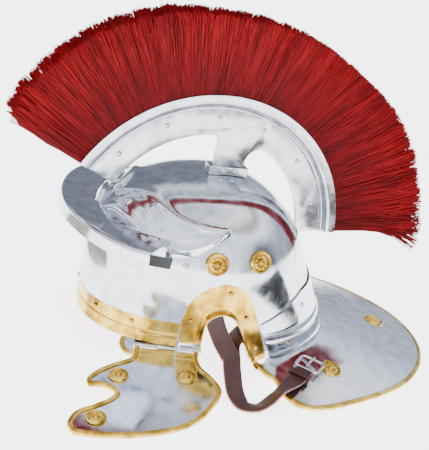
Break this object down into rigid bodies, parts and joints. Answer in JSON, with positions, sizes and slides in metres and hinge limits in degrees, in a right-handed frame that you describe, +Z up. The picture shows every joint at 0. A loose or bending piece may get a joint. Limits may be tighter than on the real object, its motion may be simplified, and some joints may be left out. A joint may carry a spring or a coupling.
{
  "type": "roman_legionary_helmet",
  "caption": "Polished steel legionary helmet with embossed brows, brass trim, hinged cheek guards, one out and one folded in, broad neck guard and a red hair crest from brow to nape.",
  "frame": {"origin": "middle of the bounding box in plan, on the table the helmet stands on", "axes": "x across to the wearer's left, y back from brow to nape, z up"},
  "size_m": [0.373, 0.4986, 0.336],
  "materials": {
    "polished_steel": "mirror polished",
    "polished_brass": "polished, lightly tarnished",
    "strap_leather": "dark red-brown, semi-matt",
    "dyed_hair": "stiff dyed hair, matt"
  },
  "bodies": {
    "helmet": {"bowl": "polished_steel", "brow_guard": "polished_steel", "neck_guard": "polished_steel", "hinge_bowl_leaf_left": "polished_steel", "hinge_bowl_leaf_right": "polished_steel", "hinge_pin_left": "polished_steel", "hinge_pin_right": "polished_steel", "crest_plate": "polished_steel", "crest_channel": "polished_steel", "crest_socket": "polished_steel", "buckle_frame": "polished_steel", "buckle_prong": "polished_steel", "ear_guard_left": "polished_brass", "ear_guard_right": "polished_brass", "brow_band": "polished_brass", "neck_edging": "polished_brass", "bowl_rosette_front_left": "polished_brass", "bowl_rosette_front_right": "polished_brass", "bowl_rosette_rear_left": "polished_brass", "bowl_rosette_rear_right": "polished_brass", "neck_rosette_left": "polished_brass", "neck_rosette_rear": "polished_brass", "neck_rosette_right": "polished_brass", "chin_strap_left": "strap_leather", "chin_strap_right": "strap_leather", "strap_keeper": "strap_leather", "plume": "dyed_hair"},
    "cheek_left": {"cheek_guard_left": "polished_steel", "cheek_edging_left": "polished_brass", "hinge_cheek_leaf_left": "polished_steel", "cheek_rosette_upper_left": "polished_brass", "cheek_rosette_rear_left": "polished_brass", "cheek_rosette_lower_left": "polished_brass"},
    "cheek_right": {"cheek_guard_right": "polished_steel", "cheek_edging_right": "polished_brass", "hinge_cheek_leaf_right": "polished_steel", "cheek_rosette_upper_right": "polished_brass", "cheek_rosette_rear_right": "polished_brass", "cheek_rosette_lower_right": "polished_brass"}
  },
  "joints": [
    {"name": "cheek_left_swing", "type": "hinge", "parent": "helmet", "child": "cheek_left", "pos_m": [0.06291, -0.07561, 0.02454], "axis": [0.3412, 0.9332, 0.1132], "range_deg": [0, 85]},
    {"name": "cheek_right_swing", "type": "hinge", "parent": "helmet", "child": "cheek_right", "pos_m": [-0.11003, -0.07561, 0.02454], "axis": [0.3412, -0.9332, -0.1132], "range_deg": [-169, 0]}
  ]
}
